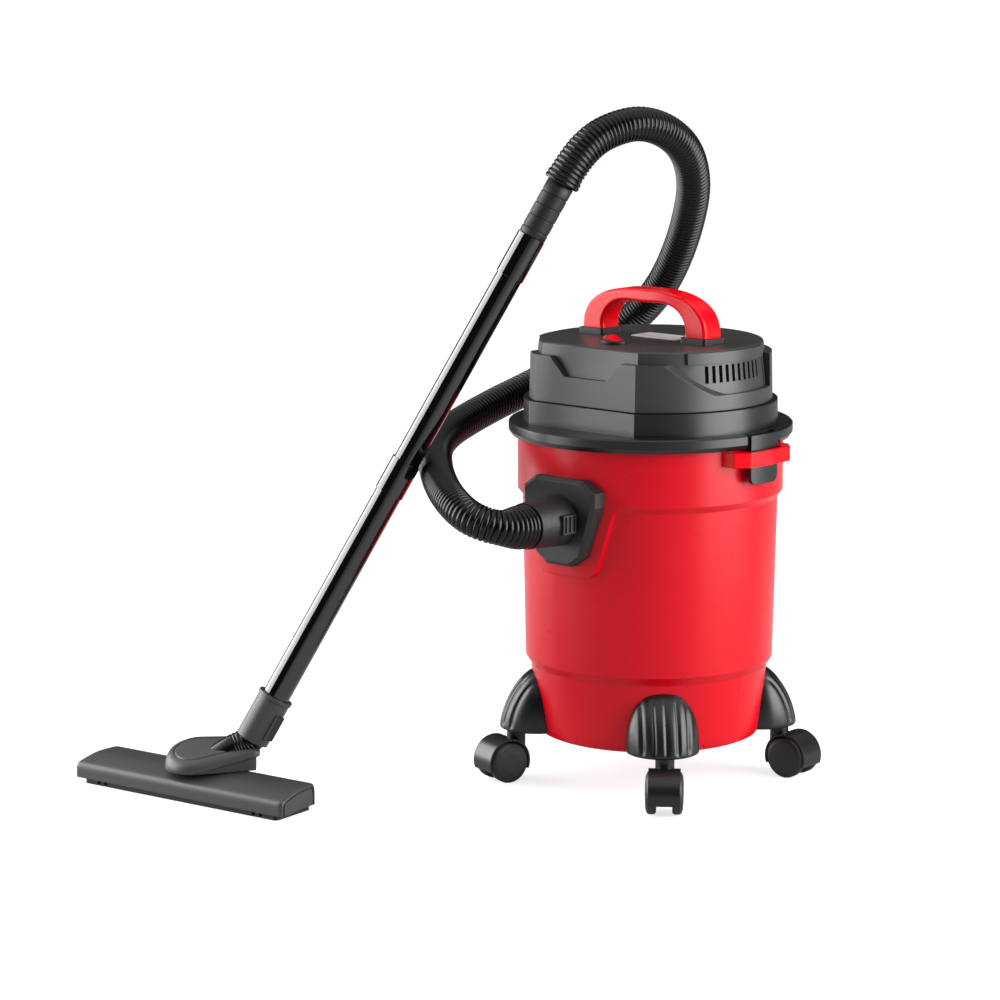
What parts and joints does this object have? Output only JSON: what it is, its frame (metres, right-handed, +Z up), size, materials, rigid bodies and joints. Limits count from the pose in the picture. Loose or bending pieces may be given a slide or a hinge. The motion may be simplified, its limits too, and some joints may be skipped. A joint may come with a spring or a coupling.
{
  "type": "shop vacuum",
  "caption": "Small wet and dry shop vacuum: red drum on castors, black motor head with an arch handle, ribbed hose, straight wand and floor nozzle.",
  "frame": {"origin": "on the floor, at the middle of the footprint without the hose; the drum's axis is at x = 0.1181, y = 0.1199", "axes": "+Z up, the longest way; -Y is the side of the hose inlet; the mains lead leaves at +Y; the handle and the latches lie along X"},
  "size_m": [0.5132, 0.5035, 0.6141],
  "materials": {
    "red_satin": "moulded polypropylene with a fine satin texture",
    "red_gloss": "glossy moulded plastic",
    "black_matte": "fine matte texture",
    "black_satin": "satin",
    "grey_satin": "satin with fine grain",
    "nozzle_grey": "fine spark texture",
    "black_gloss": "polished tube",
    "hose_black": "ribbed glossy hose",
    "wheel_black": "satin tread",
    "rubber": "matte",
    "steel": "brushed",
    "screw_steel": "zinc plated",
    "aluminium": "cast",
    "white_plastic": "smooth",
    "filter_paper": "pleated paper",
    "grey_plate": "blank plate",
    "brush": "bristle"
  },
  "bodies": {
    "root": {"drum": "red_satin", "inlet_plate": "black_matte", "inlet_screws": "screw_steel", "hose_coupling": "black_matte", "latch_loop_right": "red_gloss", "latch_loop_left": "red_gloss", "hose": "hose_black", "wand_grip": "black_matte", "wand_tube_upper": "black_gloss", "wand_tube_lower": "black_gloss", "nozzle_collar": "nozzle_grey", "collar_clip": "black_matte", "neck_bellows": "hose_black", "nozzle_neck": "nozzle_grey", "castor_foot_front_right": "black_satin", "castor_foot_front_left": "black_satin", "castor_foot_rear_right": "black_satin", "castor_foot_rear_left": "black_satin"},
    "head": {"lid": "black_satin", "motor_housing": "grey_satin", "housing_shroud": "grey_satin", "handle": "red_gloss", "handle_collars": "black_matte", "switch_bezel": "black_matte", "blank_plate": "grey_plate", "cable_gland": "black_matte", "motor_stator": "steel", "fan_housing": "steel", "float_cage": "black_matte", "filter_sleeve": "filter_paper", "filter_clamp": "black_matte", "lid_gasket": "rubber", "head_screws": "screw_steel", "latch_pins": "screw_steel"},
    "latch_right": {"latch_right": "black_satin"},
    "latch_left": {"latch_left": "black_satin"},
    "power_switch": {"power_switch": "red_gloss"},
    "motor_rotor": {"motor_shaft": "steel", "impeller": "aluminium"},
    "float": {"float_ball": "white_plastic"},
    "nozzle": {"nozzle_body": "nozzle_grey", "nozzle_sole": "black_matte", "brush_strips": "brush"},
    "castor_front_right": {"castor_hood_front_right": "black_satin", "castor_axle_front_right": "screw_steel"},
    "wheel_front_right_a": {"castor_wheel_front_right_a": "wheel_black"},
    "wheel_front_right_b": {"castor_wheel_front_right_b": "wheel_black"},
    "castor_front_left": {"castor_hood_front_left": "black_satin", "castor_axle_front_left": "screw_steel"},
    "wheel_front_left_a": {"castor_wheel_front_left_a": "wheel_black"},
    "wheel_front_left_b": {"castor_wheel_front_left_b": "wheel_black"},
    "castor_rear_right": {"castor_hood_rear_right": "black_satin", "castor_axle_rear_right": "screw_steel"},
    "wheel_rear_right_a": {"castor_wheel_rear_right_a": "wheel_black"},
    "wheel_rear_right_b": {"castor_wheel_rear_right_b": "wheel_black"},
    "castor_rear_left": {"castor_hood_rear_left": "black_satin", "castor_axle_rear_left": "screw_steel"},
    "wheel_rear_left_a": {"castor_wheel_rear_left_a": "wheel_black"},
    "wheel_rear_left_b": {"castor_wheel_rear_left_b": "wheel_black"}
  },
  "joints": [
    {"name": "head_lift", "type": "slide", "parent": "root", "child": "head", "axis": [0, 0, 1], "range_m": [0, 0.05]},
    {"name": "latch_right_press", "type": "hinge", "parent": "head", "child": "latch_right", "pos_m": [0.2419, 0.1199, 0.326], "axis": [0, 1, 0], "range_deg": [0, 8], "stiffness_Nm_per_rad": 0.25},
    {"name": "latch_left_press", "type": "hinge", "parent": "head", "child": "latch_left", "pos_m": [-0.0057, 0.1199, 0.326], "axis": [0, -1, 0], "range_deg": [0, 8], "stiffness_Nm_per_rad": 0.25},
    {"name": "switch_rock", "type": "hinge", "parent": "head", "child": "power_switch", "pos_m": [0.1181, 0.0669, 0.402], "axis": [0, -1, 0], "range_deg": [0, 12]},
    {"name": "motor_spin", "type": "hinge", "parent": "head", "child": "motor_rotor", "pos_m": [0.1181, 0.1199, 0.366], "axis": [0, 0, 1], "continuous": true},
    {"name": "float_rise", "type": "slide", "parent": "head", "child": "float", "axis": [0, 0, 1], "range_m": [0, 0.026]},
    {"name": "nozzle_turn", "type": "hinge", "parent": "root", "child": "nozzle", "pos_m": [-0.1369, -0.2091, 0.02], "axis": [0, 0, 1], "range_deg": [-120, 28]},
    {"name": "castor_swivel_front_right", "type": "hinge", "parent": "root", "child": "castor_front_right", "pos_m": [0.20601, 0.03589, 0.05], "axis": [0, 0, 1], "continuous": true},
    {"name": "wheel_roll_front_right_a", "type": "hinge", "parent": "castor_front_right", "child": "wheel_front_right_a", "pos_m": [0.21556, 0.02368, 0.019], "axis": [0.788, 0.6157, 0], "continuous": true},
    {"name": "wheel_roll_front_right_b", "type": "hinge", "parent": "castor_front_right", "child": "wheel_front_right_b", "pos_m": [0.21556, 0.02368, 0.019], "axis": [0.788, 0.6157, 0], "continuous": true},
    {"name": "castor_swivel_front_left", "type": "hinge", "parent": "root", "child": "castor_front_left", "pos_m": [0.03409, 0.03199, 0.05], "axis": [0, 0, 1], "continuous": true},
    {"name": "wheel_roll_front_left_a", "type": "hinge", "parent": "castor_front_left", "child": "wheel_front_left_a", "pos_m": [0.02982, 0.01709, 0.019], "axis": [0.9613, -0.2756, 0], "continuous": true},
    {"name": "wheel_roll_front_left_b", "type": "hinge", "parent": "castor_front_left", "child": "wheel_front_left_b", "pos_m": [0.02982, 0.01709, 0.019], "axis": [0.9613, -0.2756, 0], "continuous": true},
    {"name": "castor_swivel_rear_right", "type": "hinge", "parent": "root", "child": "castor_rear_right", "pos_m": [0.20211, 0.20781, 0.05], "axis": [0, 0, 1], "continuous": true},
    {"name": "wheel_roll_rear_right_a", "type": "hinge", "parent": "castor_rear_right", "child": "wheel_rear_right_a", "pos_m": [0.21758, 0.20876, 0.019], "axis": [-0.061, 0.9981, 0], "continuous": true},
    {"name": "wheel_roll_rear_right_b", "type": "hinge", "parent": "castor_rear_right", "child": "wheel_rear_right_b", "pos_m": [0.21758, 0.20876, 0.019], "axis": [-0.061, 0.9981, 0], "continuous": true},
    {"name": "castor_swivel_rear_left", "type": "hinge", "parent": "root", "child": "castor_rear_left", "pos_m": [0.03019, 0.20391, 0.05], "axis": [0, 0, 1], "continuous": true},
    {"name": "wheel_roll_rear_left_a", "type": "hinge", "parent": "castor_rear_left", "child": "wheel_rear_left_a", "pos_m": [0.02064, 0.21613, 0.019], "axis": [-0.788, -0.6157, 0], "continuous": true},
    {"name": "wheel_roll_rear_left_b", "type": "hinge", "parent": "castor_rear_left", "child": "wheel_rear_left_b", "pos_m": [0.02064, 0.21613, 0.019], "axis": [-0.788, -0.6157, 0], "continuous": true}
  ]
}
